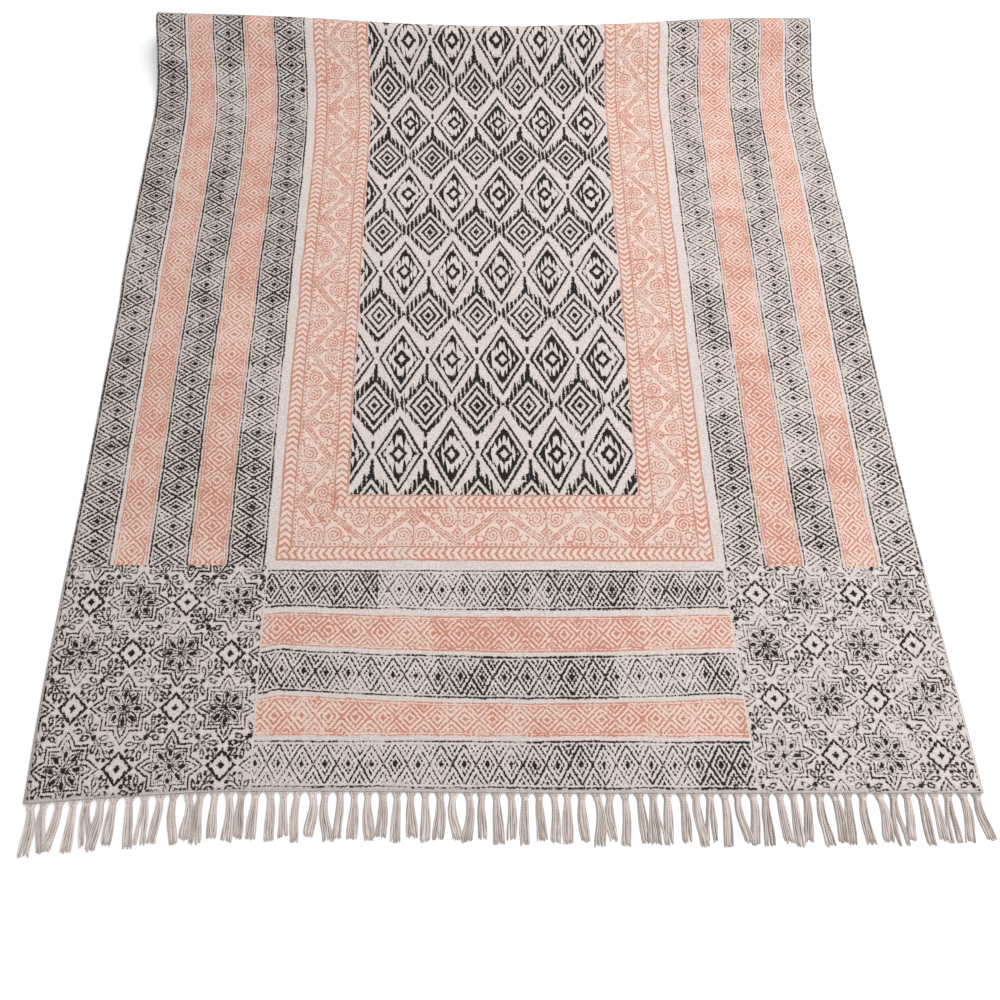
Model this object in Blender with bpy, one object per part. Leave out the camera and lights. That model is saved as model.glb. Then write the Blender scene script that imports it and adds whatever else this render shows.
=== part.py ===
"""Flatweave cotton rug, 4 by 6 feet, with a knotted fringe at both ends.

The rug lies flat, and its far end is turned under: the cloth rises over a soft, unpressed fold,
curls round it and runs back along the floor beneath itself. Metres, +Z up. X runs across the rug
and Y along it, from the near fringe at -Y to the fold at +Y. The origin is at the middle of the
rug's box, on the floor.
"""

import math
from collections import namedtuple

import bmesh
import bpy
from mathutils import Vector

# The cloth as it was woven and cut.
WIDTH = 1.22
LENGTH = 1.83
THICK = 0.003
SKEW = -0.029  # the weft runs this far out of square, in metres along for each metre across

# How the cloth lies.
LAYER_GAP = 0.001  # air between the upper layer and the turned-under one
STEP_START = 0.735  # from the near edge, where the cloth begins to climb onto its own far end
STEP_END = 0.805
FOLD_RADIUS = 0.0275  # of the middle of the cloth, round the fold

# The fold across the rug. It bows away from the near edge at both sides and rises more gently there.
Fold = namedtuple("Fold", "across crest slope_deg rise_radius")
FOLDS = (
    Fold(-0.61, 1.341, 21.5, 0.340),
    Fold(-0.36, 1.329, 24.0, 0.220),
    Fold(-0.15, 1.311, 26.5, 0.140),
    Fold(0.02, 1.304, 27.0, 0.120),
    Fold(0.24, 1.309, 26.0, 0.150),
    Fold(0.44, 1.324, 24.0, 0.230),
    Fold(0.61, 1.325, 22.0, 0.320),
)

# The two side edges, which wander a little: outwards is positive.
Side = namedtuple("Side", "along left right")
SIDES = (
    Side(0.00, -0.0020, 0.0028),
    Side(0.07, 0.0000, 0.0026),
    Side(0.17, 0.0016, 0.0000),
    Side(0.40, -0.0006, -0.0036),
    Side(0.67, -0.0004, 0.0000),
    Side(0.95, 0.0006, 0.0050),
    Side(1.30, 0.0000, 0.0020),
    Side(1.83, 0.0000, 0.0000),
)

# The near edge: one corner is pulled out towards the viewer.
Near = namedtuple("Near", "across out")
NEARS = (
    Near(-0.61, 0.0150),
    Near(-0.50, 0.0075),
    Near(-0.34, 0.0000),
    Near(0.10, 0.0012),
    Near(0.61, 0.0000),
)
NEAR_REACH = 0.16  # how far into the rug the near edge's shape is felt

# How finely the cloth is divided: across, and along each stretch in turn.
COLUMNS = 16
FLAT_ROWS = 7
STEP_ROWS = 4
OVER_ROWS = 3
RISE_ROWS = 5
SLOPE_ROWS = 2
CURL_ROWS = 13
BACK_ROWS = 4

# The fringe: locks of warp yarn, knotted against the cloth's edge.
LOCKS = 68
ROOT_GAP = 0.0003  # between the cloth's edge and the strip of knots
STRIP_DEPTH = 0.0030
ROOT_WIDTH = 0.0062
Lock = namedtuple("Lock", "reach width height")
LOCK_SECTIONS = (
    Lock(0.011, 0.0072, 0.0034),
    Lock(0.032, 0.0122, 0.0031),
    Lock(0.053, 0.0098, 0.0024),
)
LOCK_LEAN = 0.075  # the most that a lock leans sideways, for each metre of reach
LOCK_LENGTH_SPREAD = 0.085  # the longest and shortest differ from the mean by this share

CLOTH_COLOUR = (0.72, 0.66, 0.63, 1.0)
YARN_COLOUR = (0.47, 0.40, 0.38, 1.0)


def clear_scene():
    for item in list(bpy.data.objects):
        bpy.data.objects.remove(item, do_unlink=True)


def smooth(table, at, column):
    """The named column of a short table at a place along its first column, on a smooth curve."""
    places = [row[0] for row in table]
    values = [getattr(row, column) for row in table]
    i = 0
    while i < len(table) - 2 and at > places[i + 1]:
        i += 1
    before, after = max(i - 1, 0), min(i + 2, len(table) - 1)
    step = places[i + 1] - places[i]
    leaving = (values[i + 1] - values[before]) / (places[i + 1] - places[before]) * step
    arriving = (values[after] - values[i]) / (places[after] - places[i]) * step
    t = min(max((at - places[i]) / step, 0.0), 1.0)
    return (
        (1 + 2 * t) * (1 - t) ** 2 * values[i]
        + t * (1 - t) ** 2 * leaving
        + t * t * (3 - 2 * t) * values[i + 1]
        + t * t * (t - 1) * arriving
    )


def even(start, end, count):
    """count + 1 places from start to end."""
    return [start + (end - start) * i / count for i in range(count + 1)]


def profile(across):
    """The middle of the cloth along one line from the near edge to the far edge.

    Each point is (y, z, arc), with y from the near edge and arc the length of cloth so far.
    """
    crest = smooth(FOLDS, across, "crest")
    slope = math.radians(smooth(FOLDS, across, "slope_deg"))
    rise_radius = smooth(FOLDS, across, "rise_radius")
    floor_z = THICK / 2
    upper_z = floor_z + THICK + LAYER_GAP

    # The slope's length makes the curl end exactly on the floor.
    climb = floor_z + FOLD_RADIUS * (1 + math.cos(slope)) - upper_z
    slope_length = (climb - rise_radius * (1 - math.cos(slope))) / math.sin(slope)
    run = (rise_radius + FOLD_RADIUS) * math.sin(slope) + slope_length * math.cos(slope)
    rise_start = crest - run

    points = [(y, floor_z, y) for y in even(0.0, STEP_START, FLAT_ROWS)]
    for y in even(STEP_START, STEP_END, STEP_ROWS)[1:]:
        share = (y - STEP_START) / (STEP_END - STEP_START)
        share = share * share * (3 - 2 * share)
        points.append((y, floor_z + (upper_z - floor_z) * share, y))
    points += [(y, upper_z, y) for y in even(STEP_END, rise_start, OVER_ROWS)[1:]]

    arc = rise_start
    for angle in even(0.0, slope, RISE_ROWS)[1:]:
        points.append((
            rise_start + rise_radius * math.sin(angle),
            upper_z + rise_radius * (1 - math.cos(angle)),
            arc + rise_radius * angle,
        ))
    y, z, arc = points[-1]
    for length in even(0.0, slope_length, SLOPE_ROWS)[1:]:
        points.append((
            y + length * math.cos(slope),
            z + length * math.sin(slope),
            arc + length,
        ))

    # The curl turns from climbing through level to running back along the floor.
    arc = points[-1][2]
    for angle in even(slope, -math.pi, CURL_ROWS)[1:]:
        points.append((
            crest - FOLD_RADIUS * math.sin(angle),
            floor_z + FOLD_RADIUS * (1 + math.cos(angle)),
            arc + FOLD_RADIUS * (slope - angle),
        ))
    arc = points[-1][2]
    for length in even(0.0, LENGTH - arc, BACK_ROWS)[1:]:
        points.append((crest - length, floor_z, arc + length))
    return points


def laid(across, y, z, arc):
    """A point of the cloth's middle, with its uneven edges and its skewed weft."""
    share = across / WIDTH + 0.5
    left = -WIDTH / 2 - smooth(SIDES, arc, "left")
    right = WIDTH / 2 + smooth(SIDES, arc, "right")
    x = left * (1 - share) + right * share
    pull = max(0.0, 1.0 - arc / NEAR_REACH) ** 2
    return Vector((x, y + SKEW * x - pull * smooth(NEARS, across, "out"), z))


def add_material(item, name, colour, roughness):
    material = bpy.data.materials.new(name)
    material.use_nodes = True
    shader = material.node_tree.nodes["Principled BSDF"]
    shader.inputs["Base Color"].default_value = colour
    shader.inputs["Roughness"].default_value = roughness
    shader.inputs["Metallic"].default_value = 0.0
    item.data.materials.append(material)


def add_object(name, bm):
    mesh = bpy.data.meshes.new(name)
    bm.to_mesh(mesh)
    bm.free()
    item = bpy.data.objects.new(name, mesh)
    bpy.context.collection.objects.link(item)
    return item


def make_cloth():
    """The one piece of cloth, a closed sheet over its whole folded form."""
    places = even(-WIDTH / 2, WIDTH / 2, COLUMNS)
    lines = [profile(across) for across in places]
    rows = len(lines[0]) - 1
    bm = bmesh.new()
    bmesh.ops.create_grid(bm, x_segments=COLUMNS, y_segments=rows, size=0.5)
    for vert in bm.verts:
        column = round((vert.co.x + 0.5) * COLUMNS)
        row = round((vert.co.y + 0.5) * rows)
        vert.co = laid(places[column], *lines[column][row])
    cloth = add_object("rug_cloth", bm)
    thicken = cloth.modifiers.new("thickness", "SOLIDIFY")
    thicken.thickness = THICK
    thicken.offset = 0.0
    thicken.use_even_offset = True
    thicken.use_quality_normals = True
    add_material(cloth, "printed_cotton", CLOTH_COLOUR, 0.95)
    near = [laid(place, *line[0]) for place, line in zip(places, lines)]
    far = [laid(place, *line[-1]) for place, line in zip(places, lines)]
    return cloth, near, far


def on_line(points, share):
    """The point at a share of the way along a row of evenly spaced points."""
    at = share * (len(points) - 1)
    i = min(int(at), len(points) - 2)
    return points[i].lerp(points[i + 1], at - i)


def wander(number, rate):
    """A value from -1 to 1 that looks uneven from one lock to the next."""
    return 0.6 * math.sin(number * rate + 0.7) + 0.4 * math.sin(number * rate * 2.37 + 2.1)


def make_fringe(name, edge):
    """A strip of knots along one end of the cloth, with a lock of yarn lying out of each.

    Both ends point towards -Y, because the far one is turned under.
    """
    pitch = 1.0 / LOCKS
    half_root = ROOT_WIDTH / WIDTH / 2
    breaks = [0.0]
    for number in range(LOCKS):
        middle = (number + 0.5) * pitch
        breaks += [middle - half_root, middle + half_root]
    breaks.append(1.0)

    bm = bmesh.new()
    segments = len(breaks) - 1
    bmesh.ops.create_grid(bm, x_segments=segments, y_segments=1, size=0.5)
    raised = bmesh.ops.extrude_face_region(bm, geom=bm.faces[:])
    tops = [item for item in raised["geom"] if isinstance(item, bmesh.types.BMVert)]
    bmesh.ops.translate(bm, verts=tops, vec=(0, 0, THICK))
    number_of = bm.faces.layers.int.new("lock")
    for face in bm.faces:
        middle = face.calc_center_median()
        segment = int((middle.x + 0.5) * segments)
        side = abs(middle.y + 0.5) < 1e-4 and 0 < segment < segments - 1
        face[number_of] = (segment + 1) // 2 if side and segment % 2 else 0
    for vert in bm.verts:
        place = on_line(edge, breaks[round((vert.co.x + 0.5) * segments)])
        reach = ROOT_GAP + (STRIP_DEPTH if vert.co.y < 0 else 0.0)
        vert.co = Vector((place.x, place.y - reach, vert.co.z))

    roots = [face for face in bm.faces if face[number_of]]
    for root in roots:
        number = root[number_of]
        middle = root.calc_center_median()
        lean = LOCK_LEAN * wander(number, 1.9)
        longer = 1 + LOCK_LENGTH_SPREAD * wander(number, 2.7)
        end = root
        for section in LOCK_SECTIONS:
            grown = bmesh.ops.extrude_discrete_faces(bm, faces=[end])
            end = grown["faces"][0]
            reach = section.reach * longer
            centre = end.calc_center_median()
            for vert in end.verts:
                half = section.width / 2 if vert.co.x > centre.x else -section.width / 2
                vert.co = Vector((
                    middle.x + lean * reach + half,
                    middle.y - reach,
                    section.height if vert.co.z > centre.z else 0.0,
                ))
    bmesh.ops.recalc_face_normals(bm, faces=bm.faces[:])
    fringe = add_object(name, bm)
    add_material(fringe, name + "_yarn", YARN_COLOUR, 0.95)
    return fringe


def centre_on_origin(items):
    """Moves the whole rug so that the middle of its box, at floor level, is at the origin."""
    bpy.context.view_layer.update()
    depsgraph = bpy.context.evaluated_depsgraph_get()
    corners = [vert.co for item in items for vert in item.evaluated_get(depsgraph).data.vertices]
    middle_x = (min(co.x for co in corners) + max(co.x for co in corners)) / 2
    middle_y = (min(co.y for co in corners) + max(co.y for co in corners)) / 2
    for item in items:
        for vert in item.data.vertices:
            vert.co -= Vector((middle_x, middle_y, 0.0))


clear_scene()
rug_cloth, near_edge, far_edge = make_cloth()
fringe_near = make_fringe("fringe_near", near_edge)
fringe_far = make_fringe("fringe_far", far_edge)
centre_on_origin([rug_cloth, fringe_near, fringe_far])
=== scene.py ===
"""The looks of a hand-printed cotton flatweave rug with knotted fringes.

The rug lies flat, with its far end turned under. Metres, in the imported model's frame: X across the
rug, Y along it from the near fringe to the fold, Z up. The motifs of the printing blocks are in
millimetres.
"""

import math
import random
from collections import namedtuple
from functools import lru_cache

import bmesh
import bpy
from mathutils import Matrix, Vector, noise


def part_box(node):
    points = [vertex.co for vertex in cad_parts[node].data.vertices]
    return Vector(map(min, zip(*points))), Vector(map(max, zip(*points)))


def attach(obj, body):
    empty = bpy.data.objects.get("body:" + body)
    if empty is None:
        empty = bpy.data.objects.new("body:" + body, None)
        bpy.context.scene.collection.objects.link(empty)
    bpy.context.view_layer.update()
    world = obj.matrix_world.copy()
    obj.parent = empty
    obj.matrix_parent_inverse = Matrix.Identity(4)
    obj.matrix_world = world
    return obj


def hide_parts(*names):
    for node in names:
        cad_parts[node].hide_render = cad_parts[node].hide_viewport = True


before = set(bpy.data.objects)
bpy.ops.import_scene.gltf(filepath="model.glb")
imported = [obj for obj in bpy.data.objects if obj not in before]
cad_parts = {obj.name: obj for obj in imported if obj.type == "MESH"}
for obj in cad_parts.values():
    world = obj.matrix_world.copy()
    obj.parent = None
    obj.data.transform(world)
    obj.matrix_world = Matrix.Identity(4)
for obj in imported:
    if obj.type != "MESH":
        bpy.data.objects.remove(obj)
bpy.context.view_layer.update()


# The cloth: one piece of cotton flatweave, 4 by 6 feet and 3 mm thick. It lies flat on the floor, and
# its far end is turned under over a soft, unpressed fold and runs back beneath the rug. It is printed
# on one face with wooden blocks, in black and in coral over a pale coral wash.
WIDTH = 1.22
LENGTH = 1.83
THICK = 0.003
SKEW = -0.029  # the weft runs this far out of square, in metres along for each metre across
LAYER_GAP = 0.001  # air between the upper layer and the turned-under one
STEP_START = 0.735  # from the near edge, where the cloth begins to climb onto its own far end
STEP_END = 0.805
FOLD_RADIUS = 0.0275  # of the middle of the cloth, round the fold
NEAR_REACH = 0.16  # how far into the rug the near edge's shape is felt

# The fold across the rug bows away from the near edge at both sides and rises more gently there.
Fold = namedtuple("Fold", "across crest slope_deg rise_radius")
FOLDS = (
    Fold(-0.61, 1.341, 21.5, 0.340),
    Fold(-0.36, 1.329, 24.0, 0.220),
    Fold(-0.15, 1.311, 26.5, 0.140),
    Fold(0.02, 1.304, 27.0, 0.120),
    Fold(0.24, 1.309, 26.0, 0.150),
    Fold(0.44, 1.324, 24.0, 0.230),
    Fold(0.61, 1.325, 22.0, 0.320),
)

# The two side edges wander a little: outwards is positive.
Side = namedtuple("Side", "along left right")
SIDES = (
    Side(0.00, -0.0020, 0.0028),
    Side(0.07, 0.0000, 0.0026),
    Side(0.17, 0.0016, 0.0000),
    Side(0.40, -0.0006, -0.0036),
    Side(0.67, -0.0004, 0.0000),
    Side(0.95, 0.0006, 0.0050),
    Side(1.30, 0.0000, 0.0020),
    Side(1.83, 0.0000, 0.0000),
)

# The near edge: one corner is pulled out towards the viewer.
Near = namedtuple("Near", "across out")
NEARS = (
    Near(-0.61, 0.0150),
    Near(-0.50, 0.0075),
    Near(-0.34, 0.0000),
    Near(0.10, 0.0012),
    Near(0.61, 0.0000),
)

# Where the printed blocks lie on the flat cloth: stripes along both sides, stripes across both ends,
# a square of corner blocks at each corner, and a coral frame round the centre panel.
Stripe = namedtuple("Stripe", "inner outer ink first")  # first: where one of its diamonds is centred
SIDE_STRIPES = (  # from the centre line outwards
    Stripe(0.3280, 0.3820, "black", 0.0255),
    Stripe(0.3842, 0.4343, "coral", 0.0320),
    Stripe(0.4370, 0.4930, "black", 0.0257),
    Stripe(0.4962, 0.5432, "coral", 0.0300),
    Stripe(0.5490, 0.6080, "black", 0.0025),
)
END_STRIPES = (  # from either end inwards
    Stripe(0.0050, 0.0620, "black", 0.0108),
    Stripe(0.0680, 0.1145, "coral", 0.0248),
    Stripe(0.1200, 0.1750, "black", 0.0080),
    Stripe(0.1810, 0.2270, "coral", 0.0198),
    Stripe(0.2360, 0.2900, "black", 0.0138),
)
STRIPE_WIDTH = {"black": 0.054, "coral": 0.046}  # at which the blocks of each colour are drawn
PANEL_HALF_WIDTH = 0.2145
PANEL_START = 0.4045
FRAME_HALF_WIDTH = 0.3225
FRAME_START = 0.2970

# The stripes across the ends were printed by eye: they bow towards the end, a little off the middle.
BOW_DEPTH = 0.0052
BOW_MIDDLE = 0.04
BOW_CURVE = 0.094  # for each metre squared across
BOW_START = 0.062  # from the end: grows from here to BOW_FULL, and is gone at FRAME_START
BOW_FULL = 0.120
BOW_FADE = 0.175
BOW_EDGE = 0.03  # it also fades over this much at both sides

# The print also strays sideways, to the right where positive, and most near the fold. The shifts are
# those of the left stripes, the frame's two sides and the right stripes, at STRAY_PLACES across.
Stray = namedtuple("Stray", "along left frame_left frame_right right")
STRAYS = (
    Stray(0.10, 0.0000, 0.0000, 0.0000, 0.0000),
    Stray(0.34, -0.0025, 0.0000, 0.0000, 0.0035),
    Stray(0.55, -0.0050, -0.0015, 0.0015, 0.0060),
    Stray(0.72, -0.0045, -0.0005, 0.0025, 0.0060),
    Stray(0.90, -0.0010, 0.0010, 0.0015, 0.0065),
    Stray(1.09, -0.0005, 0.0032, 0.0062, 0.0120),
    Stray(1.25, -0.0085, 0.0000, 0.0100, 0.0195),
    Stray(1.36, -0.0095, 0.0000, 0.0110, 0.0205),
    Stray(1.50, 0.0000, 0.0000, 0.0000, 0.0000),
    Stray(1.83, 0.0000, 0.0000, 0.0000, 0.0000),
)
STRAY_PLACES = (-0.475, -0.265, 0.265, 0.475)
Shift = namedtuple("Shift", "place sideways")

COLUMN_STEP = 0.0092
ROW_STEP = 0.0092
FOLD_ROW_STEP = 0.0036
FOLD_FINE = (1.16, 1.45)  # the stretch of cloth that rises and goes round the fold
RIPPLE = 0.0016  # the most that the cloth stands off the floor between the places where it rests
RIPPLES_ACROSS = 5.0  # to the metre
RIPPLES_ALONG = 8.0
RIPPLE_LEVEL = 0.3  # at which the noise is cut
RIPPLE_FADE = 0.10  # from the near edge, and before the rise


def smooth(table, at, column):
    """The named column of a short table at a place along its first column, on a smooth curve."""
    places = [row[0] for row in table]
    values = [getattr(row, column) for row in table]
    i = 0
    while i < len(table) - 2 and at > places[i + 1]:
        i += 1
    before, after = max(i - 1, 0), min(i + 2, len(table) - 1)
    step = places[i + 1] - places[i]
    leaving = (values[i + 1] - values[before]) / (places[i + 1] - places[before]) * step
    arriving = (values[after] - values[i]) / (places[after] - places[i]) * step
    t = min(max((at - places[i]) / step, 0.0), 1.0)
    return (
        (1 + 2 * t) * (1 - t) ** 2 * values[i]
        + t * (1 - t) ** 2 * leaving
        + t * t * (3 - 2 * t) * values[i + 1]
        + t * t * (t - 1) * arriving
    )


def ease(share):
    """Goes from 0 to 1 with a level start and end."""
    share = min(max(share, 0.0), 1.0)
    return share * share * (3 - 2 * share)


@lru_cache(maxsize=None)
def fold_at(across):
    return tuple(smooth(FOLDS, across, column) for column in ("crest", "slope_deg", "rise_radius"))


@lru_cache(maxsize=None)
def sides_at(arc):
    return smooth(SIDES, arc, "left"), smooth(SIDES, arc, "right")


@lru_cache(maxsize=None)
def near_at(across):
    return smooth(NEARS, across, "out")


def lie(across, arc):
    """Where a point of the flat cloth lies, arc being its distance from the near edge.

    The cloth goes along the floor, up a step onto its own far end, through a gentle rise and a
    straight slope into the curl, round it, and back along the floor.
    """
    crest, slope_deg, rise_radius = fold_at(across)
    slope = math.radians(slope_deg)
    floor_z = THICK / 2
    upper_z = floor_z + THICK + LAYER_GAP
    climb = floor_z + FOLD_RADIUS * (1 + math.cos(slope)) - upper_z
    slope_length = (climb - rise_radius * (1 - math.cos(slope))) / math.sin(slope)
    run = (rise_radius + FOLD_RADIUS) * math.sin(slope) + slope_length * math.cos(slope)
    rise_start = crest - run
    slope_start = rise_start + rise_radius * slope
    curl_start = slope_start + slope_length
    back_start = curl_start + FOLD_RADIUS * (slope + math.pi)
    if arc < rise_start:
        y = arc
        z = floor_z + (upper_z - floor_z) * ease((arc - STEP_START) / (STEP_END - STEP_START))
        loose = ease(arc / RIPPLE_FADE) * ease((rise_start - arc) / RIPPLE_FADE)
        ripple = noise.noise((across * RIPPLES_ACROSS, arc * RIPPLES_ALONG, RIPPLE_LEVEL))
        z += RIPPLE * loose * max(0.0, ripple)
    elif arc < slope_start:
        angle = (arc - rise_start) / rise_radius
        y = rise_start + rise_radius * math.sin(angle)
        z = upper_z + rise_radius * (1 - math.cos(angle))
    elif arc < curl_start:
        y = crest - FOLD_RADIUS * math.sin(slope) - (curl_start - arc) * math.cos(slope)
        z = floor_z + FOLD_RADIUS * (1 + math.cos(slope)) - (curl_start - arc) * math.sin(slope)
    elif arc < back_start:
        angle = slope - (arc - curl_start) / FOLD_RADIUS
        y = crest - FOLD_RADIUS * math.sin(angle)
        z = floor_z + FOLD_RADIUS * (1 + math.cos(angle))
    else:
        y = crest - (arc - back_start)
        z = floor_z
    left, right = sides_at(arc)
    x = across + (across / WIDTH + 0.5) * right + (across / WIDTH - 0.5) * left
    pull = max(0.0, 1.0 - arc / NEAR_REACH) ** 2
    return Vector((x, y + SKEW * x - pull * near_at(across), z))


@lru_cache(maxsize=None)
def strays_at(along):
    """How far the print strays sideways, as a table across the rug. It stays put at the edges."""
    shifts = [smooth(STRAYS, along, column) for column in Stray._fields[1:]]
    places = (-WIDTH / 2,) + STRAY_PLACES + (WIDTH / 2,)
    return tuple(Shift(*pair) for pair in zip(places, [0.0] + shifts + [0.0]))


def strayed(across, along):
    """Where on the cloth a point of the print came down."""
    from_end = min(along, LENGTH - along)
    full = ease((from_end - BOW_START) / (BOW_FULL - BOW_START))
    full *= ease((FRAME_START - from_end) / (FRAME_START - BOW_FADE))
    full *= ease((FRAME_HALF_WIDTH - abs(across)) / BOW_EDGE)
    bow = full * (BOW_DEPTH - BOW_CURVE * (across - BOW_MIDDLE) ** 2)
    sideways = smooth(strays_at(along), across, "sideways")
    return across + sideways, along - bow if along < LENGTH / 2 else along + bow


def stations(cuts, step):
    """Places from the first cut to the last, no more than a step apart, with one on every cut."""
    places = [cuts[0]]
    for start, end in zip(cuts, cuts[1:]):
        count = max(1, round((end - start) / step))
        places += [start + (end - start) * i / count for i in range(1, count + 1)]
    return places


def cuts_between(stripes):
    """The middles of the plain gaps between neighbouring stripes."""
    return [(one.outer + other.inner) / 2 for one, other in zip(stripes, stripes[1:])]


def stripe_at(stripes, cuts, place):
    return stripes[sum(place > cut for cut in cuts)]


side_cuts = cuts_between(SIDE_STRIPES)
end_cuts = cuts_between(END_STRIPES)
half_columns = [PANEL_HALF_WIDTH, FRAME_HALF_WIDTH] + side_cuts + [WIDTH / 2]
columns = stations([-cut for cut in reversed(half_columns)] + half_columns, COLUMN_STEP)
near_cuts = [0.0] + end_cuts + [FRAME_START, PANEL_START]
far_cuts = [LENGTH - cut for cut in reversed(near_cuts)]
rows = stations(near_cuts + [FOLD_FINE[0]], ROW_STEP)
rows += stations([FOLD_FINE[0], far_cuts[0], FOLD_FINE[1]], FOLD_ROW_STEP)[1:]
rows += stations([FOLD_FINE[1]] + far_cuts[1:], ROW_STEP)[1:]

# The cloth starts flat. Each face gets its print and its place on the block, and then the cloth is
# laid in its folded form.
PRINTS = ["black stripe", "coral stripe", "coral frame", "centre panel", "corner panel"]
bm = bmesh.new()
bmesh.ops.create_grid(bm, x_segments=len(columns) - 1, y_segments=len(rows) - 1, size=0.5)
for vert in bm.verts:
    column = round((vert.co.x + 0.5) * (len(columns) - 1))
    row = round((vert.co.y + 0.5) * (len(rows) - 1))
    vert.co = Vector((columns[column], rows[row], 0.0))
plan = bm.loops.layers.uv.new("plan")
block = bm.loops.layers.uv.new("block")
for face in bm.faces:
    face.smooth = True
    middle = face.calc_center_median()
    from_end = min(middle.y, LENGTH - middle.y)
    at_end = from_end < FRAME_START
    stripe = None
    if at_end and abs(middle.x) > FRAME_HALF_WIDTH:
        face.material_index = PRINTS.index("corner panel")
    elif at_end:
        stripe = stripe_at(END_STRIPES, end_cuts, from_end)
    elif abs(middle.x) > FRAME_HALF_WIDTH:
        stripe = stripe_at(SIDE_STRIPES, side_cuts, abs(middle.x))
    elif abs(middle.x) > PANEL_HALF_WIDTH or from_end < PANEL_START:
        face.material_index = PRINTS.index("coral frame")
    else:
        face.material_index = PRINTS.index("centre panel")
    if stripe:
        face.material_index = PRINTS.index(stripe.ink + " stripe")
    for loop in face.loops:
        across, along = loop.vert.co.xy
        loop[plan].uv = (across, along)
        if stripe:
            place = min(along, LENGTH - along) if at_end else abs(across)
            offset = (place - (stripe.inner + stripe.outer) / 2) / (stripe.outer - stripe.inner)
            length = across if at_end else along
            loop[block].uv = (length - stripe.first, offset * STRIPE_WIDTH[stripe.ink])
for vert in bm.verts:
    vert.co = lie(*strayed(vert.co.x, vert.co.y))

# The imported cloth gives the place: its box's middle across, and its farthest point along.
cloth_low, cloth_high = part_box("rug_cloth")
across_ends = [max(vert.co.x for vert in bm.verts), min(vert.co.x for vert in bm.verts)]
shift = Vector((
    (cloth_low[0] + cloth_high[0] - sum(across_ends)) / 2,
    cloth_high[1] - THICK / 2 - max(vert.co.y for vert in bm.verts),
    0.0,
))
bmesh.ops.translate(bm, verts=bm.verts[:], vec=shift)
cloth_mesh = bpy.data.meshes.new("printed_cloth")
bm.to_mesh(cloth_mesh)
bm.free()
cloth = bpy.data.objects.new("printed_cloth", cloth_mesh)
bpy.context.collection.objects.link(cloth)
thicken = cloth.modifiers.new("thickness", "SOLIDIFY")
thicken.thickness = THICK
thicken.offset = 0.0
thicken.use_even_offset = True
thicken.use_quality_normals = True
thicken.material_offset = len(PRINTS)  # the back and the edges get the last material, bare cloth
thicken.material_offset_rim = len(PRINTS)

# Colours, as linear values.
COTTON_LIGHT = (0.678, 0.602, 0.567, 1.0)
COTTON_DARK = (0.405, 0.354, 0.330, 1.0)
BLACK_INK = (0.012, 0.010, 0.009, 1.0)
CORAL_INK = (0.410, 0.164, 0.113, 1.0)
CORAL_WASH = (0.725, 0.508, 0.424, 1.0)

COTTON_ROUGHNESS = 0.92
COTTON_SPECULAR = 0.25
# The weave's contrast is painted shade: the cotton is darker in the hollows where the threads dip.
WEAVE_SHADE_CONTRAST = 0.9
GRAIN_CONTRAST = 1.3
PATCH_CONTRAST = 0.3
LIGHTENED = 0.2

MM = 1000.0  # in a metre

# The weave, its pitches in millimetres, and the unevenness of cloth and print, in cycles to the metre.
WEFT_PITCH = 3.0
WARP_PITCH = 2.6
WEFT_RIDGE = 0.4
WARP_RIDGE = 0.9
MEAN_WEAVE = 0.42
WEAVE_RELIEF = 0.0006  # in metres
RELIEF_STRENGTH = 0.8
GRAIN_RELIEF = 0.5  # the share of it that single fibres have
WANDER_SCALE = 17.0
GRAIN_SCALE = 290.0
PATCH_SCALE = 26.0

# How far each of these carries the edges of a printed shape over its whole range, in millimetres.
WOBBLE = 3.6  # the wander of whole lines
GRAIN_REACH = 5.0
WEAVE_REACH = 1.6
PATCH_REACH = 2.2
SHARPNESS = 1.1  # the share of the cover that is gained in a millimetre

# Spots of spilt ink, in millimetres on the flat cloth. The coral ones have run into the weave.
Blot = namedtuple("Blot", "across along radius")
BLACK_BLOTS = (Blot(-336.3, 1209.4, 5.2),)
CORAL_BLOTS = (
    Blot(-275.4, 1215.0, 5.5),
    Blot(-280.0, 1205.0, 3.5),
    Blot(-297.4, 1226.0, 4.0),
    Blot(-263.6, 395.5, 5.0),
    Blot(-233.3, 398.6, 6.0),
    Blot(-276.9, 423.1, 4.0),
    Blot(-253.2, 366.7, 4.5),
    Blot(-235.2, 385.7, 3.5),
)
BLOT_SOFTNESS = 0.3


class Field:
    """A number that varies over the cloth. Arithmetic on it adds Math nodes to the material."""

    def __init__(self, tree, socket):
        self.tree = tree
        self.socket = socket

    def math(self, operation, *others, clamp=False):
        node = self.tree.nodes.new("ShaderNodeMath")
        node.operation = operation
        node.use_clamp = clamp
        for entry, value in zip(node.inputs, (self,) + others):
            if isinstance(value, Field):
                self.tree.links.new(value.socket, entry)
            else:
                entry.default_value = value
        return Field(self.tree, node.outputs["Value"])

    def __add__(self, other):
        return self.math("ADD", other)

    def __radd__(self, other):
        return self.math("ADD", other)

    def __sub__(self, other):
        return self.math("SUBTRACT", other)

    def __rsub__(self, other):
        return self.math("MULTIPLY_ADD", -1.0, other)

    def __mul__(self, other):
        return self.math("MULTIPLY", other)

    def __truediv__(self, other):
        return self.math("DIVIDE", other)

    def __abs__(self):
        return self.math("ABSOLUTE")

    def over(self, limit):
        """1 where the number is over the limit, and 0 elsewhere."""
        return self.math("GREATER_THAN", limit)

    def folded(self, half_pitch):
        """How far the nearest of the places is that lie two half pitches apart, one of them at 0."""
        return self.math("PINGPONG", half_pitch)

    def repeated(self, half_pitch):
        """The same with its sign, from minus to plus half a pitch."""
        return self.math("WRAP", half_pitch, -half_pitch)

    def clamped(self):
        return self.math("ADD", 0.0, clamp=True)


def any_of(first, *others):
    """The shape that holds all of the shapes. A shape is how deep each point lies in it, in mm."""
    for other in others:
        first = first.math("MAXIMUM", other)
    return first


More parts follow.
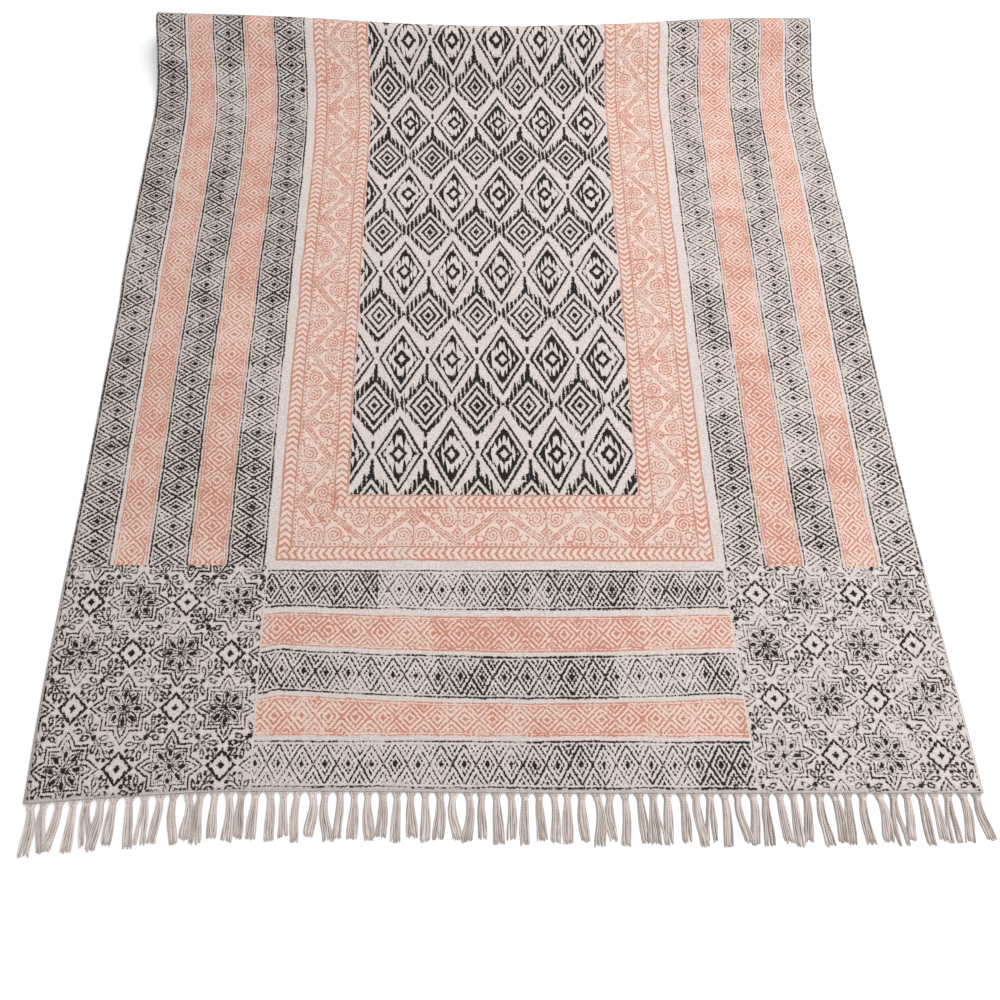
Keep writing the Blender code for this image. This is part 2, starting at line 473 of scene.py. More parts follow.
def all_of(first, *others):
    """The shape where all of the shapes overlap."""
    for other in others:
        first = first.math("MINIMUM", other)
    return first


def choose(which, one, other):
    """one where which is 0, and other where it is 1."""
    return one + which * (other - one)


def line(distance, width):
    """A line of that width where the distance is 0."""
    return width / 2 - abs(distance)


def length_of(x, y):
    return (x * x + y * y).math("SQRT")


SQUARE = 0.707  # turns a sum of two distances into one square to an edge at 45 degrees


def slant(half_x, half_y):
    """The distance in mm that a step of 1 in x / half_x + y / half_y makes, square to a diamond's side."""
    return 1 / math.hypot(1 / half_x, 1 / half_y)


class PrintedCloth:
    """One material of the cloth: its bare weave, on which ink() prints shapes."""

    def __init__(self, name):
        self.material = bpy.data.materials.new(name)
        self.material.use_nodes = True
        self.tree = self.material.node_tree
        flat_plan = self.node("ShaderNodeUVMap", uv_map="plan").outputs["UV"]
        on_block = self.node("ShaderNodeUVMap", uv_map="block").outputs["UV"]
        true_u, true_v = self.split(flat_plan, MM)
        along, across = self.split(on_block, MM)

        wander = self.noise(flat_plan, WANDER_SCALE, detail=4.0, output="Color")
        wander_u, wander_v = self.split(wander, WOBBLE)
        self.u = true_u + wander_u - WOBBLE / 2
        self.v = true_v + wander_v - WOBBLE / 2
        self.along = along + wander_u - WOBBLE / 2
        self.across = across + wander_v - WOBBLE / 2
        self.from_end = self.v.folded(LENGTH * MM / 2)

        row = true_v / WEFT_PITCH
        ridge = row.folded(0.5) * 2.0
        stagger = true_u / WARP_PITCH + row
        self.weave = ridge * WEFT_RIDGE + stagger.folded(0.5) * WARP_RIDGE
        self.grain = Field(self.tree, self.noise(flat_plan, GRAIN_SCALE, detail=2.0)) - 0.5
        self.patch = Field(self.tree, self.noise(flat_plan, PATCH_SCALE, detail=5.0)) - 0.5
        self.missed = self.grain * GRAIN_REACH + (self.weave - MEAN_WEAVE) * WEAVE_REACH

        # The cotton's colour: its own random tone from fibre grain and patches, plus painted shade from the
        # weave, darker in the hollows between the raised threads.
        tone_and_weave_shade = self.weave * WEAVE_SHADE_CONTRAST + self.grain * GRAIN_CONTRAST + self.patch * PATCH_CONTRAST
        self.colour = self.mixed((tone_and_weave_shade + LIGHTENED).clamped(), COTTON_DARK, COTTON_LIGHT)

    def node(self, kind, **settings):
        node = self.tree.nodes.new(kind)
        for name, value in settings.items():
            setattr(node, name, value)
        return node

    def split(self, vector, scale):
        """The first two parts of a vector, times the scale."""
        parts = self.node("ShaderNodeSeparateXYZ")
        self.tree.links.new(vector, parts.inputs["Vector"])
        return [Field(self.tree, parts.outputs[axis]) * scale for axis in "XY"]

    def noise(self, vector, scale, detail, output="Fac"):
        texture = self.node("ShaderNodeTexNoise", noise_dimensions="2D")
        self.tree.links.new(vector, texture.inputs["Vector"])
        texture.inputs["Scale"].default_value = scale
        texture.inputs["Detail"].default_value = detail
        return texture.outputs[output]

    def stamped(self, place, block_length):
        """A number from 0 to 1 for each pressing of a block, from its place along the stripe."""
        texture = self.node("ShaderNodeTexWhiteNoise", noise_dimensions="1D")
        pressing = (place / block_length).math("FLOOR")
        self.tree.links.new(pressing.socket, texture.inputs["W"])
        return Field(self.tree, texture.outputs["Value"])

    def blots(self, places):
        """Round spots of spilt ink."""
        return any_of(*[
            blot.radius - length_of(self.u - blot.across, self.v - blot.along) for blot in places
        ])

    def mixed(self, share, one, other):
        mix = self.node("ShaderNodeMixRGB")
        self.tree.links.new(share.socket, mix.inputs["Fac"])
        for name, value in (("Color1", one), ("Color2", other)):
            if isinstance(value, tuple):
                mix.inputs[name].default_value = value
            else:
                self.tree.links.new(value, mix.inputs[name])
        return mix.outputs["Color"]

    def ink(self, shape, colour, pressed, opacity=1.0):
        """Prints a shape. The harder the block is pressed, the further its edges reach, in mm."""
        reached = shape + pressed + self.patch * PATCH_REACH + self.missed
        cover = reached.math("MULTIPLY_ADD", SHARPNESS, 0.5, clamp=True)
        self.colour = self.mixed((cover * opacity).clamped(), self.colour, colour)

    def finished(self):
        shader = self.tree.nodes["Principled BSDF"]
        self.tree.links.new(self.colour, shader.inputs["Base Color"])
        shader.inputs["Roughness"].default_value = COTTON_ROUGHNESS
        shader.inputs["Specular IOR Level"].default_value = COTTON_SPECULAR
        bump = self.node("ShaderNodeBump")
        bump.inputs["Strength"].default_value = RELIEF_STRENGTH
        bump.inputs["Distance"].default_value = WEAVE_RELIEF
        self.tree.links.new((self.weave + self.grain * GRAIN_RELIEF).socket, bump.inputs["Height"])
        self.tree.links.new(bump.outputs["Normal"], shader.inputs["Normal"])
        return self.material


# The stripes' blocks hold a row of nested diamonds. Where a part of a diamond begins or ends is given
# as a share of its size, 1 being the lattice between neighbours. The rings lie to both sides of it.
StripeBlock = namedtuple(
    "StripeBlock",
    "half_pitch half_height rings_from_lattice ring_width lattice_width"
    " triangles_from middle_to row_half_width",
)
BLACK_BLOCK = StripeBlock(15.0, 22.5, 0.48, 1.1, 3.2, 1.80, 0.28, 22.6)
CORAL_BLOCK = StripeBlock(18.0, 18.5, 0.44, 2.5, 2.7, 1.72, 0.24, 17.6)
BEAD_HALF_PITCH = 0.17
STRIPE_STEP = 115.0  # from one stripe to the next of the same colour
PRESSING = 8  # half pitches that are printed at once
STAGGER = 22  # half pitches by which each stripe's pressings are moved along from its neighbour's
RIGHT_STRIPES_AFTER = 5.0  # their number goes on from here, so that they are pressed unlike the left


def diamond_row(cloth, block, beads=0.0):
    """Nested diamonds in a row. beads is how steeply their rings swell, in mm for a whole diamond."""
    x = cloth.along.folded(block.half_pitch) / block.half_pitch
    y = abs(cloth.across) / block.half_height
    diamond = x + y
    step = slant(block.half_pitch, block.half_height)
    ring = line((abs(diamond - 1.0) - block.rings_from_lattice) * step, block.ring_width)
    ring = ring + (x - y).folded(BEAD_HALF_PITCH) * beads
    lattice = line((diamond - 1.0) * step, block.lattice_width)
    triangles = (diamond - block.triangles_from) * step
    middle = (block.middle_to - diamond) * step
    return all_of(any_of(ring, lattice, triangles, middle), block.row_half_width - abs(cloth.across))


def pressing_on(cloth, block, side_start, end_start):
    """A number from 0 to 1 for each pressing of a stripe's block, every stripe having its own."""
    at_side = cloth.from_end.over(FRAME_START * MM)
    place = choose(at_side, cloth.from_end - end_start, abs(cloth.u) - side_start)
    stripe = (place / STRIPE_STEP).math("FLOOR") + at_side * cloth.u.over(0.0) * RIGHT_STRIPES_AFTER
    along = cloth.along + stripe * (STAGGER * block.half_pitch)
    return cloth.stamped(along, PRESSING * block.half_pitch)


def print_black_stripe():
    """The row of diamonds in black between two thin lines, pressed a little harder on the left."""
    cloth = PrintedCloth("black_stripe")
    side_start, end_start = 300.0, 0.0  # of the first stripe's share of the cloth
    edge_at, edge_width = 25.8, 2.6
    lightest, range_of_pressing, extra_on_left = -0.7, 0.7, 0.15

    row = diamond_row(cloth, BLACK_BLOCK, beads=9.0)
    edges = line(abs(cloth.across) - edge_at, edge_width)
    on_left = all_of(cloth.from_end - FRAME_START * MM, cloth.u * -1.0).over(0.0)
    pressed = pressing_on(cloth, BLACK_BLOCK, side_start, end_start) * range_of_pressing
    pressed = pressed + lightest + on_left * extra_on_left
    cloth.ink(any_of(row, edges, cloth.blots(BLACK_BLOTS)), BLACK_INK, pressed)
    return cloth.finished()


def print_coral_stripe():
    """The same kind of row in coral, between double lines, on a wash that fills the stripe."""
    cloth = PrintedCloth("coral_stripe")
    side_start, end_start = 360.0, 55.0
    inner_edge_at, inner_edge_width = 18.6, 1.3
    outer_edge_at, outer_edge_width = 22.0, 1.7
    wash_half_width = 23.2
    lightest, range_of_pressing = -0.15, 0.5

    off = abs(cloth.across)
    row = diamond_row(cloth, CORAL_BLOCK)
    edges = any_of(line(off - inner_edge_at, inner_edge_width), line(off - outer_edge_at, outer_edge_width))
    pressed = pressing_on(cloth, CORAL_BLOCK, side_start, end_start) * range_of_pressing + lightest
    cloth.ink(wash_half_width - off, CORAL_WASH, 0.0, opacity=cloth.patch * 0.6 + 0.68)
    cloth.ink(any_of(row, edges), CORAL_INK, pressed, opacity=0.9)
    return cloth.finished()


def print_coral_frame():
    """A band of zigzags and scrolls between two narrow strips of leaves, round the centre panel."""
    cloth = PrintedCloth("coral_frame")
    width = 98.0
    inner_side, inner_end = 215.0, 404.5
    end_stretch = 0.975  # the frame is a little wider across the ends
    left_first, right_first, end_first = 393.0, 438.0, 76.0  # a point of each side's zigzag
    band_half_width = 27.0
    strip_from_middle, strip_half_width = 38.5, 8.6
    zigzag_half_pitch, zigzag_depth, zigzag_slope = 64.5, 24.3, 0.744
    strip_line_at = 9.4  # from the strip's middle
    scroll_at, scroll_below, scroll_radius, scroll_pitch = 14.3, 11.7, 11.9, 4.8
    bud_at, bud_size = 8.0, 7.2
    stalk_from, stalk_waist, stalk_to = -24.0, -8.0, 0.5
    hook_at, hook_out, hook_radius = 30.5, 17.5, 4.6
    dots_half_pitch, dots_at, dots_out, dot_radius = 6.5, 3.2, 25.2, 1.6

    side_out = abs(cloth.u) - inner_side
    end_out = (inner_end - cloth.from_end) * end_stretch
    out = any_of(side_out, end_out)
    on_side = side_out.math("GREATER_THAN", end_out)
    right = cloth.u.over(0.0)
    side_along = choose(right, left_first - cloth.v, cloth.v - right_first)
    along = choose(on_side, cloth.u - end_first, side_along)

    band = out - width / 2
    strip = abs(abs(band) - strip_from_middle)
    leaf = (along - strip * 0.8).folded(5.35)
    leaves = all_of(line(leaf * 0.8, 3.1 - strip * 0.1), strip_half_width - strip)
    strip_lines = line(strip - strip_line_at, 2.3)

    # Every other point of the zigzag turns inwards, and the filling turns with it.
    turned = along.folded(zigzag_half_pitch).over(zigzag_half_pitch / 2)
    x = along.folded(zigzag_half_pitch / 2)
    y = band * (1.0 - turned * 2.0)
    off_zigzag = (y + x * zigzag_slope - zigzag_depth) * 0.8
    zigzag = all_of(line(off_zigzag.folded(1.75), 1.5), 4.6 - abs(off_zigzag))
    scroll_x = x - scroll_at
    scroll_y = y + scroll_below
    radius = length_of(scroll_x, scroll_y)
    turn = scroll_y.math("ARCTAN2", scroll_x) * (scroll_pitch / math.tau)
    scroll = all_of(line((radius - turn).folded(scroll_pitch / 2), 1.8), scroll_radius - radius)
    bud = abs(x) + abs(y - bud_at)
    buds = any_of(line((bud - bud_size) * SQUARE, 1.7), (2.8 - bud) * SQUARE)
    stalk = all_of(line(x, 1.4 + abs(y - stalk_waist) * 0.12), stalk_to - y, y - stalk_from)
    hook = length_of(x - hook_at, abs(y) - hook_out) - hook_radius
    curl = all_of(line(hook, 1.8), any_of(abs(y) - 16.0, 30.0 - x))
    dot = length_of(x.folded(dots_half_pitch) - dots_at, abs(y) - dots_out)
    shapes = any_of(zigzag, scroll, buds, stalk, curl, dot_radius - dot)
    filling = all_of(shapes, band_half_width - abs(band))

    cloth.ink(width - out, CORAL_WASH, 0.0, opacity=cloth.patch * 0.8 + 0.56)
    cloth.ink(any_of(leaves, strip_lines, filling), CORAL_INK, 0.15, opacity=0.9)
    cloth.ink(cloth.blots(CORAL_BLOTS) * BLOT_SOFTNESS, CORAL_INK, -0.2, opacity=0.8)
    return cloth.finished()


def print_centre_panel():
    """Rows of nested diamonds with barbed bands, and between them rows of taller toothed diamonds."""
    cloth = PrintedCloth("centre_panel")
    half_width = 213.5
    half_pitch, half_row = 39.8, 82.6
    first_column, first_row, first_tall_row = -22.0, 552.0, 470.0  # a diamond of each kind
    teeth_rows_from = 428.7  # each row of diamonds has its own uneven teeth
    tooth_half_pitch, tooth_slope = 3.4, 0.06
    nested_x, nested_y, ring_half_pitch, ring_width = 24.0, 32.0, 0.24, 3.5
    band_from, band_to, tips_to = 1.36, 1.56, 0.2  # of the barbed band, as shares of the diamond
    spear_from, spear_middle, spear_to, spear_width = 46.0, 52.0, 74.0, 5.0
    dart_from, dart_to, dart_width = -72.0, -60.0, 3.8
    tall_x, tall_y, outline_width = 34.5, 60.0, 3.0
    inner_x, inner_y = 27.0, 47.0
    eye_x, eye_y, eye_from, eye_to = 11.5, 14.5, 0.62, 1.06

    drift = cloth.u + cloth.v * tooth_slope
    tooth = drift.folded(tooth_half_pitch) / tooth_half_pitch
    row = ((cloth.v - teeth_rows_from) / half_row).math("FLOOR")
    chance = cloth.stamped(drift + row * 222.0, 2 * tooth_half_pitch)

    x = (cloth.u - first_column).folded(half_pitch)
    y = (cloth.v - first_row).repeated(half_row)
    step = slant(nested_x, nested_y)
    nested = x / nested_x + abs(y) / nested_y
    rings = all_of(line((nested - 0.98).folded(ring_half_pitch) * step, ring_width), (1.1 - nested) * step)
    middle = (0.2 - nested) * step
    above = y.over(0.0)
    barb_tip = band_to + chance * (above * 0.26 + tips_to) + above * 0.1
    barb = (tooth * 4.6 - 1.1) - (nested - 1.38) * 1.6
    crown = all_of((nested - 1.38) * step, (1.54 - nested) * step, 11.0 - x)
    barbs = any_of(all_of((nested - band_from) * step, (barb_tip - nested) * step, barb), crown)
    narrowing = abs(y - spear_middle) * 0.05
    spear = all_of(line(x, spear_width - narrowing), y - spear_from, spear_to - y)
    dart = all_of(line(x, dart_width), y - dart_from, dart_to - y)

    x = half_pitch - x
    y = (cloth.v - first_tall_row).repeated(half_row)
    tall = x / tall_x + abs(y) / tall_y
    outline = line((tall - 1.0) * slant(tall_x, tall_y), outline_width)
    inner = x / inner_x + abs(y) / inner_y
    flame = tooth * (chance * 0.4 + 0.08)
    ring = all_of(inner - 0.88 + flame, 1.0 - inner) * slant(inner_x, inner_y)
    ring = ring - (0.45 - chance).over(0.0) * 1.4
    tips = all_of((abs(y) - 31.0) * 0.6, (0.95 - inner) * slant(inner_x, inner_y))
    eye = x / eye_x + abs(y) / eye_y
    eye_ring = all_of(eye - eye_from, eye_to + tooth * 0.18 - eye) * slant(eye_x, eye_y)

    shapes = any_of(rings, middle, barbs, spear, dart, outline, ring, tips, eye_ring)
    pressed = cloth.stamped(cloth.v + cloth.u * 0.01, 2 * half_row) * 0.3 + 0.2
    cloth.ink(all_of(shapes, half_width - abs(cloth.u)), BLACK_INK, pressed)
    return cloth.finished()


Ring = namedtuple("Ring", "s t lean_deg half_length half_width")
SPRIG_LEAVES = (
    Ring(27.0, 0.0, 0.0, 5.4, 2.7),
    Ring(20.0, 9.3, 42.0, 4.8, 2.5),
    Ring(9.0, 9.0, 68.0, 4.4, 2.4),
)
LEAF_LINE = 2.1


def ring_at(s, t, ring):
    """The outline of a long narrow leaf, s being the way along its sprig and t the way out from it."""
    lean = math.radians(ring.lean_deg)
    ds, dt = s - ring.s, t - ring.t
    length = (ds * math.cos(lean) + dt * math.sin(lean)) / ring.half_length
    width = (dt * math.cos(lean) - ds * math.sin(lean)) / ring.half_width
    return line((length_of(length, width) - 1.0) * ring.half_width, LEAF_LINE)


def print_corner_panel():
    """Eight-pointed stars and small squares on their points in turn, with sprigs between them."""
    cloth = PrintedCloth("corner_panel")
    half_x, half_y = 67.3, 70.7
    left_star_u, right_star_u = -565.0, 364.0
    left_star_v, right_star_v = 32.0, 45.0
    inner_side, outer_side, near_edge = 325.0, 607.0, 3.0
    star_core, star_reach, point_half_width, point_middle, point_length = 26.5, 43.0, 11.5, 21.0, 44.0
    petal_start, petal_length, petal_half_width = 4.0, 22.0, 5.2
    border_from, border_to, centre_to = 16.2, 20.6, 5.2

    right = cloth.u.over(0.0)
    x = (cloth.u - left_star_u - right * (right_star_u - left_star_u)).folded(half_x)
    y = (cloth.from_end - left_star_v - right * (right_star_v - left_star_v)).folded(half_y)
    beyond = (x / half_x + y / half_y).over(1.0)
    x = abs(beyond * half_x - x)
    y = abs(beyond * half_y - y)

    radius = length_of(x, y)
    longest = any_of(x, y)
    shortest = all_of(x, y)
    point_edge = ((longest - point_middle) * (math.pi / point_length)).math("COSINE") * point_half_width
    point = all_of((point_edge - shortest) * 0.85, star_reach - longest)
    rim = any_of(star_core - longest, point)
    outline = line(rim, 2.5)
    inline = line(rim - 5.2, 2.0)
    off_axis = y.math("ARCTAN2", x).folded(math.pi / 8)
    petal_x = radius * off_axis.math("COSINE")
    petal_y = radius * off_axis.math("SINE")
    petal_edge = ((petal_x - petal_start) * (math.pi / petal_length)).math("SINE") * petal_half_width
    petals = all_of(line(petal_y - petal_edge, 1.7), petal_x - 3.0, star_core - petal_x)
    seeds = 3.0 - length_of((petal_x - 16.5) * 0.5, petal_y)
    ribs = all_of(line(petal_y, 1.5), petal_x - 3.0, 12.0 - petal_x)
    star = any_of(outline, inline, petals, seeds, ribs, 3.6 - radius)

    on_point = all_of(half_x - x + y, x + half_y - y)
    tooth = x.folded(3.0)
    border = all_of(on_point - border_from + tooth, border_to - on_point) * SQUARE
    square = any_of(border, (centre_to - on_point) * SQUARE)

    s = abs(x - y + (half_y - half_x) / 2) * SQUARE
    t = (1.0 - x / half_x - y / half_y) * slant(half_x, half_y)
    stem = all_of(line(t, 2.0), 22.0 - s)
    side_stem = all_of(line((t - (s - 9.0) * 0.9) * 0.74, 1.7), 6.0 - t)
    low_stem = all_of(line((t - (s - 3.0) * 1.6) * 0.53, 1.7), 6.0 - t)
    leaves = any_of(*[ring_at(s, t, leaf) for leaf in SPRIG_LEAVES])
    drop = 2.9 - length_of(s - 28.5, t - 6.8)
    sprigs = any_of(stem, side_stem, low_stem, leaves, drop, 3.6 - length_of(s, t))

    # The right side is pressed a little less.
    pressed = -0.15 - right * 0.25
    inside = all_of(abs(cloth.u) - inner_side, outer_side - abs(cloth.u), cloth.from_end - near_edge)
    cloth.ink(all_of(any_of(star, square, sprigs), inside), BLACK_INK, pressed)
    return cloth.finished()


cloth.data.materials.append(print_black_stripe())
cloth.data.materials.append(print_coral_stripe())
cloth.data.materials.append(print_coral_frame())
cloth.data.materials.append(print_centre_panel())
cloth.data.materials.append(print_corner_panel())
cloth.data.materials.append(PrintedCloth("bare_cloth").finished())
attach(cloth, "root")
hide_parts("rug_cloth")


# The fringes: at each end the undyed warp yarns come out of the cloth's edge, are gathered in 68 knots
# close to it, and lie loose past them. Both fringes point towards the viewer, because the far end is
# turned under.
KNOTS = 68
YARNS = 9  # in each tassel
YARN_RADIUS = 0.00112
YARN_LENGTH = 0.0560  # from the cloth's edge
YARN_LENGTHS = (0.96, 1.03)  # the shares of it that single yarns have
YARN_SIDES = 5
YARN_SEGMENTS = 9
YARN_TIP = 0.8  # the share of its radius at the cut end
KNOT_HALF = Vector((0.0036, 0.0036, 0.0022))
KNOT_OUT = 0.0062  # its middle, from the cloth's edge
WEB_SPREAD = 0.0036  # the yarns come together from this much wider apart at the edge
TASSEL_LEAN = 0.095  # the most that a tassel leans sideways, for each metre of reach
TASSEL_LENGTHS = 0.085  # the longest and shortest differ from the mean by this share
TASSEL_SPLIT = 0.0034  # some part in the middle, by up to this much to each side
SPLIT_FROM = 0.25  # of the wander from which they do
TASSEL_HALF_WIDTH = 0.0022  # at its start, not counting the web
TASSEL_GAIN = 0.0030  # more than that where it is widest
TASSEL_WIDENING = 0.6  # of the half turn in which it widens and narrows
TASSEL_BEND = 0.0030  # the most that it bends sideways
BEND_TURN = 4.4  # radians along a tassel
YARN_WAVES = (0.0004, 0.0014)  # from the least to the most that a yarn waves sideways
WAVE_TURN = 5.5
YARN_STRAY = 0.0012  # the most that a yarn's end strays from its place
LAYER_HEIGHT = 0.0013  # of every other yarn over its neighbours
LAYER_DROP = 0.0004  # less than that at the cut end
EDGE_HEIGHT = 0.0008  # that all yarns lie higher at the cloth's edge
SHADES = 30
KNOT_TURNS = 120.0  # of the plies on a knot, to the metre
YARN_LIGHT = (0.682, 0.600, 0.564, 1.0)
YARN_DARK = (0.305, 0.247, 0.222, 1.0)
PLY_PITCH = 0.0034
FUZZ_SCALE = 650.0  # cycles to the metre
SHADE_SCALE = 90.0
# The ply's contrast is painted shade, darker in the grooves between the twisted plies.
PLY_SHADE_CONTRAST = 0.2
FUZZ_CONTRAST = 0.6
SHADE_CONTRAST = 0.5
OWN_CONTRAST = 0.6  # from one yarn to the next
DARKENED = 0.36
YARN_ROUGHNESS = 0.95
YARN_SPECULAR = 0.2
YARN_RELIEF = 0.0002


def wander(number, rate):
    """A value from -1 to 1 that looks uneven from one tassel to the next."""
    return 0.6 * math.sin(number * rate + 0.7) + 0.4 * math.sin(number * rate * 2.37 + 2.1)


def add_yarn(bm, twist, path, radius, shade):
    """A thin tube along a path, with its turn and its length in the UV map, and its shade's number."""
    grid = bmesh.ops.create_grid(bm, x_segments=YARN_SIDES, y_segments=len(path) - 1, size=0.5)
    faces = {face for vert in grid["verts"] for face in vert.link_faces}
    for face in faces:
        face.smooth = True
        for loop in face.loops:
            share = loop.vert.co.y + 0.5
            loop[twist].uv = (loop.vert.co.x + 0.5 + shade, share * YARN_LENGTH)
    for vert in grid["verts"]:
        angle = -math.tau * vert.co.x
        at = round((vert.co.y + 0.5) * (len(path) - 1))
        size = radius * (YARN_TIP if at == len(path) - 1 else 1.0)
        around = Vector((math.cos(angle), 0.0, math.sin(angle))) * size
        vert.co = path[at] + around


def yarn_path(start, number, slot, layer, chance):
    """The middle of one yarn, from the cloth's edge through its knot to its cut end.

    slot is its place across the tassel, from -1 to 1, and layer is 1 where it lies over the others.
    """
    lean = TASSEL_LEAN * wander(number, 1.9)
    length = YARN_LENGTH * (1 + TASSEL_LENGTHS * wander(number, 2.7)) * chance.uniform(*YARN_LENGTHS)
    split = TASSEL_SPLIT * max(0.0, wander(number, 3.3) - SPLIT_FROM)
    phase = chance.uniform(0.0, math.tau)
    wave = chance.uniform(*YARN_WAVES)
    stray = chance.uniform(-YARN_STRAY, YARN_STRAY)
    bend = TASSEL_BEND * wander(number, 4.1)
    path = []
    for i in range(YARN_SEGMENTS + 1):
        share = i / YARN_SEGMENTS
        reach = length * share
        spread = TASSEL_HALF_WIDTH + TASSEL_GAIN * math.sin(math.pi * share * TASSEL_WIDENING)
        spread += WEB_SPREAD * max(0.0, 1 - reach / KNOT_OUT)
        side = slot * spread + math.copysign(split, slot) * share + stray * share
        side += wave * math.sin(phase + share * WAVE_TURN) * share + bend * math.sin(share * BEND_TURN)
        layer_height = layer * (LAYER_HEIGHT - LAYER_DROP * share)
        height = YARN_RADIUS + layer_height + EDGE_HEIGHT * (1 - share) ** 2
        path.append(Vector((start.x + lean * reach + side, start.y - reach, height)))
    return path


def make_tassel(number, start, chance):
    """One knot with its yarns, as a mesh. They start at the cloth's edge, and the knot lies past it."""
    bm = bmesh.new()
    twist = bm.loops.layers.uv.new("twist")
    for i in range(YARNS):
        slot = 2 * i / (YARNS - 1) - 1
        path = yarn_path(start, number, slot, i % 2, chance)
        add_yarn(bm, twist, path, YARN_RADIUS, chance.randrange(SHADES))
    middle = start - Vector((0.0, KNOT_OUT, 0.0))
    size = Matrix.Translation(middle) @ Matrix.Diagonal(KNOT_HALF).to_4x4()
    ball = bmesh.ops.create_uvsphere(bm, u_segments=8, v_segments=6, radius=1.0, matrix=size)
    for face in {face for vert in ball["verts"] for face in vert.link_faces}:
        face.smooth = True
        for loop in face.loops:
            loop[twist].uv = (loop.vert.co.x * KNOT_TURNS, loop.vert.co.y)
    bmesh.ops.remove_doubles(bm, verts=bm.verts[:], dist=0.00001)
    open_edges = [edge for edge in bm.edges if edge.is_boundary]
    bmesh.ops.holes_fill(bm, edges=open_edges, sides=YARN_SIDES)
    bmesh.ops.recalc_face_normals(bm, faces=bm.faces[:])
    mesh = bpy.data.meshes.new("tassel")
    bm.to_mesh(mesh)
    bm.free()
    return mesh


def make_fringe(name, ends, seed):
    """The knots and yarns along one end of the cloth. ends are points along that edge."""
    chance = random.Random(seed)
    bm = bmesh.new()
    for number in range(KNOTS):
        at = (number + 0.5) / KNOTS * (len(ends) - 1)
        first = min(int(at), len(ends) - 2)
        place = ends[first].lerp(ends[first + 1], at - first)
        start = Vector((place.x, place.y, KNOT_HALF.z))
        tassel = make_tassel(number, start, chance)
        bm.from_mesh(tassel)
        bpy.data.meshes.remove(tassel)
    mesh = bpy.data.meshes.new(name)
    bm.to_mesh(mesh)
    bm.free()
    fringe = bpy.data.objects.new(name, mesh)
    bpy.context.collection.objects.link(fringe)
    return fringe


def make_yarn_material():
    """Soft undyed cotton yarn, with its plies twisted round each other."""
    material = bpy.data.materials.new("undyed_yarn")
    material.use_nodes = True
    tree = material.node_tree
    links = tree.links
    place = tree.nodes.new("ShaderNodeTexCoord").outputs["Object"]
    twist = tree.nodes.new("ShaderNodeUVMap")
    twist.uv_map = "twist"
    parts = tree.nodes.new("ShaderNodeSeparateXYZ")
    links.new(twist.outputs["UV"], parts.inputs["Vector"])
    turn = Field(tree, parts.outputs["X"])
    along = Field(tree, parts.outputs["Y"])
    ply = (turn + along / PLY_PITCH).folded(0.5) * 2.0
    fuzz = tree.nodes.new("ShaderNodeTexNoise")
    fuzz.inputs["Scale"].default_value = FUZZ_SCALE
    links.new(place, fuzz.inputs["Vector"])
    shade = tree.nodes.new("ShaderNodeTexNoise")
    shade.inputs["Scale"].default_value = SHADE_SCALE
    links.new(place, shade.inputs["Vector"])
    own_shade = tree.nodes.new("ShaderNodeTexWhiteNoise")
    own_shade.noise_dimensions = "1D"
    links.new(turn.math("FLOOR").socket, own_shade.inputs["W"])
    # The yarn's colour: painted shade in the grooves between the plies, plus its own random tone from the
    # fibres' fuzz, broad patches and each yarn.
    share = ply * PLY_SHADE_CONTRAST + Field(tree, fuzz.outputs["Fac"]) * FUZZ_CONTRAST
    share = share + Field(tree, shade.outputs["Fac"]) * SHADE_CONTRAST
    share = share + Field(tree, own_shade.outputs["Value"]) * OWN_CONTRAST
    colour = tree.nodes.new("ShaderNodeMixRGB")
    colour.inputs["Color1"].default_value = YARN_DARK
    colour.inputs["Color2"].default_value = YARN_LIGHT
    links.new((share - DARKENED).clamped().socket, colour.inputs["Fac"])
    shader = tree.nodes["Principled BSDF"]
    links.new(colour.outputs["Color"], shader.inputs["Base Color"])
    shader.inputs["Roughness"].default_value = YARN_ROUGHNESS
    shader.inputs["Specular IOR Level"].default_value = YARN_SPECULAR
    bump = tree.nodes.new("ShaderNodeBump")
    bump.inputs["Distance"].default_value = YARN_RELIEF
    links.new((ply + Field(tree, fuzz.outputs["Fac"]) * FUZZ_CONTRAST).socket, bump.inputs["Height"])
    links.new(bump.outputs["Normal"], shader.inputs["Normal"])
    return material


yarn_material = make_yarn_material()
for name, node, arc, seed in (
    ("near_fringe", "fringe_near", 0.0, 11),
    ("far_fringe", "fringe_far", LENGTH, 12),
):
    fringe = make_fringe(name, [lie(across, arc) + shift for across in columns], seed)
    fringe.data.materials.append(yarn_material)
    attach(fringe, "root")
    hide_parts(node)


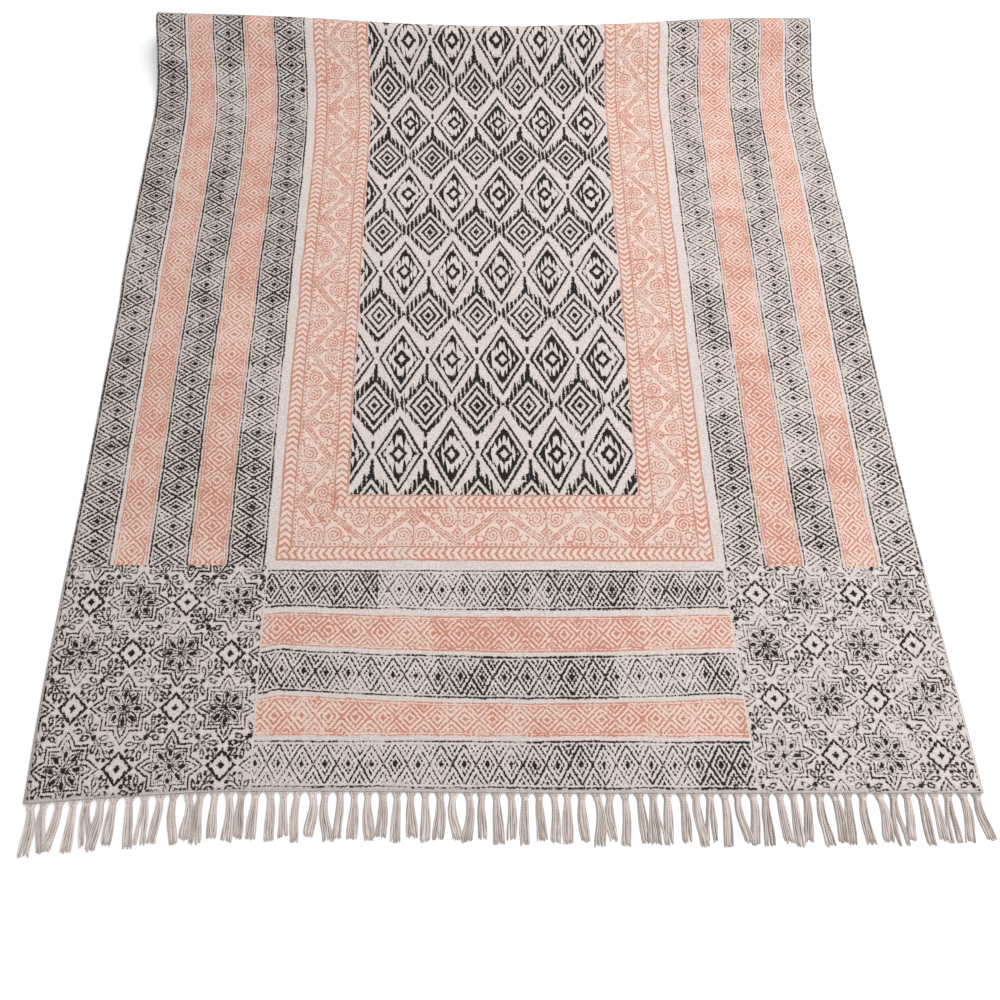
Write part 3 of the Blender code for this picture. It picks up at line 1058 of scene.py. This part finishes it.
# The studio: a plain pale floor, a large soft light overhead, a weaker one from the near right and
# even light all round.
FLOOR_COLOUR = (0.95, 0.95, 0.95, 1.0)
FLOOR_ROUGHNESS = 0.9
FLOOR_HALF = 6.0
EVEN_LIGHT = 0.55
bm = bmesh.new()
bmesh.ops.create_grid(bm, x_segments=1, y_segments=1, size=FLOOR_HALF)
floor_mesh = bpy.data.meshes.new("floor")
bm.to_mesh(floor_mesh)
bm.free()
floor = bpy.data.objects.new("floor", floor_mesh)
bpy.context.collection.objects.link(floor)
floor_material = bpy.data.materials.new("pale_floor")
floor_material.use_nodes = True
floor_shader = floor_material.node_tree.nodes["Principled BSDF"]
floor_shader.inputs["Base Color"].default_value = FLOOR_COLOUR
floor_shader.inputs["Roughness"].default_value = FLOOR_ROUGHNESS
floor.data.materials.append(floor_material)

world = bpy.data.worlds.new("studio")
world.use_nodes = True
world.node_tree.nodes["Background"].inputs["Color"].default_value = (1.0, 1.0, 1.0, 1.0)
world.node_tree.nodes["Background"].inputs["Strength"].default_value = EVEN_LIGHT
bpy.context.scene.world = world
bpy.context.scene.view_settings.view_transform = "Standard"

Lamp = namedtuple("Lamp", "name place size power")
for lamp in (
    Lamp("overhead", Vector((1.3, 0.9, 2.5)), 2.4, 82.0),
    Lamp("fill", Vector((1.2, -1.6, 2.2)), 2.0, 20.0),
):
    light = bpy.data.lights.new(lamp.name, "AREA")
    light.size = lamp.size
    light.energy = lamp.power
    item = bpy.data.objects.new(lamp.name, light)
    item.location = lamp.place
    item.rotation_euler = (-lamp.place).to_track_quat("-Z", "Y").to_euler()
    bpy.context.collection.objects.link(item)

# The camera stands above the near end and looks steeply down, as the photograph was taken.
CAMERA_PLACE = Vector((-0.0014, -0.6018, 0.9440))
CAMERA_YAW = math.radians(-1.305)
CAMERA_TILT = math.radians(19.96)  # up from straight down
CAMERA_ROLL = math.radians(-0.271)
camera_data = bpy.data.cameras.new("camera")
camera_data.sensor_width = 36.0
camera_data.lens = 24.48
camera = bpy.data.objects.new("camera", camera_data)
bpy.context.collection.objects.link(camera)
camera.matrix_world = (
    Matrix.Translation(CAMERA_PLACE)
    @ Matrix.Rotation(CAMERA_YAW, 4, "Z")
    @ Matrix.Rotation(CAMERA_TILT, 4, "X")
    @ Matrix.Rotation(CAMERA_ROLL, 4, "Z")
)
bpy.context.scene.camera = camera
